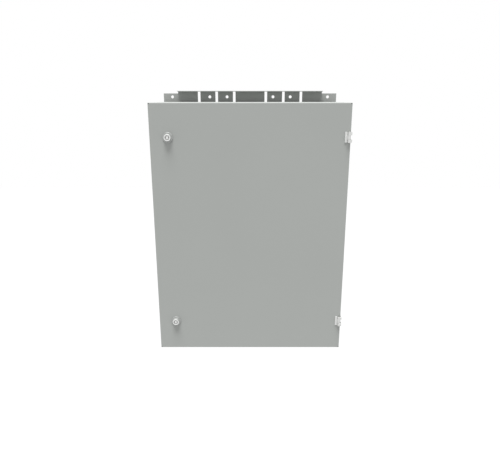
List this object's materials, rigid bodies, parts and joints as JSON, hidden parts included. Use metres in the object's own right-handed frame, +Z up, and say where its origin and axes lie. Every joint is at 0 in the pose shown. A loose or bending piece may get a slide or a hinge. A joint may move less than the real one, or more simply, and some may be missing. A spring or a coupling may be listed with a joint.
{
  "type": "wall-mount thermal cabinet",
  "caption": "Grey insulated steel wall cabinet with a hinged door, quarter-turn latches, slotted wall and pole brackets and a thermostat heater inside.",
  "frame": {"origin": "centre of the four outer wall bolts, in the plane of the wall", "axes": "+X to the right seen from the front, +Y into the wall, +Z up"},
  "size_m": [0.6025, 0.288, 0.8732],
  "materials": {
    "paint": "satin powder coat, light grey",
    "hinge_metal": "die-cast, satin",
    "latch_metal": "satin plated",
    "zinc_plate": "zinc plated sheet",
    "fastener": "zinc plated",
    "insulation": "closed-cell foam sheet with a foil face",
    "seal": "soft black foam rubber",
    "pale_plastic": "fine texture",
    "terminal_plastic": "fine texture",
    "dark_plastic": "fine texture",
    "heater_alloy": "natural extrusion",
    "guard_wire": "bright plated"
  },
  "bodies": {
    "cabinet": {"cabinet_shell": "paint", "upper_bracket": "paint", "lower_bracket": "paint", "bracket_bolts": "fastener", "bracket_nuts": "fastener", "upper_hinge_side_leaf": "hinge_metal", "lower_hinge_side_leaf": "hinge_metal", "hinge_pins": "fastener", "hinge_side_screws": "fastener", "hinge_side_nuts": "fastener", "left_insulation": "insulation", "right_insulation": "insulation", "top_insulation": "insulation", "bottom_insulation": "insulation", "rear_insulation": "insulation", "mounting_panel": "zinc_plate", "panel_studs": "fastener", "panel_nuts": "fastener", "upper_rail": "zinc_plate", "lower_rail": "zinc_plate", "rail_screws": "fastener", "thermostat_body": "pale_plastic", "terminal_blocks": "terminal_plastic", "terminal_stops": "pale_plastic", "heater_block": "heater_alloy", "heater_clip": "zinc_plate", "fan_frame": "dark_plastic", "fan_guard": "guard_wire", "fan_screws": "fastener", "entry_seal": "seal", "entry_plate": "paint", "entry_screws": "fastener", "entry_nuts": "fastener", "gland_bodies": "pale_plastic", "gland_locknuts": "pale_plastic", "gland_caps": "pale_plastic", "gland_plugs": "seal", "earth_stud": "fastener", "earth_nuts": "fastener"},
    "door": {"door_panel": "paint", "door_gasket": "seal", "door_insulation": "insulation", "upper_hinge_door_leaf": "hinge_metal", "lower_hinge_door_leaf": "hinge_metal", "hinge_door_screws": "fastener", "latch_seals": "seal", "latch_nuts": "fastener", "upper_latch_housing": "latch_metal", "lower_latch_housing": "latch_metal"},
    "upper_latch": {"upper_latch_insert": "latch_metal", "upper_latch_cam": "zinc_plate", "upper_cam_screw": "fastener"},
    "lower_latch": {"lower_latch_insert": "latch_metal", "lower_latch_cam": "zinc_plate", "lower_cam_screw": "fastener"},
    "fan_rotor": {"fan_rotor": "dark_plastic"},
    "thermostat_dial": {"thermostat_dial": "dark_plastic"}
  },
  "joints": [
    {"name": "door_hinge", "type": "hinge", "parent": "cabinet", "child": "door", "pos_m": [0.294, -0.2797, 0], "axis": [0, 0, 1], "range_deg": [0, 130]},
    {"name": "upper_latch_turn", "type": "hinge", "parent": "door", "child": "upper_latch", "pos_m": [-0.245, -0.275, 0.3], "axis": [0, 1, 0], "range_deg": [0, 90]},
    {"name": "lower_latch_turn", "type": "hinge", "parent": "door", "child": "lower_latch", "pos_m": [-0.245, -0.275, -0.3], "axis": [0, 1, 0], "range_deg": [0, 90]},
    {"name": "fan_spin", "type": "hinge", "parent": "cabinet", "child": "fan_rotor", "pos_m": [-0.12, -0.0909, -0.1575], "axis": [0, 0, 1], "continuous": true},
    {"name": "thermostat_turn", "type": "hinge", "parent": "cabinet", "child": "thermostat_dial", "pos_m": [-0.15, -0.1005, 0.174], "axis": [0, -1, 0], "range_deg": [-135, 135]}
  ]
}
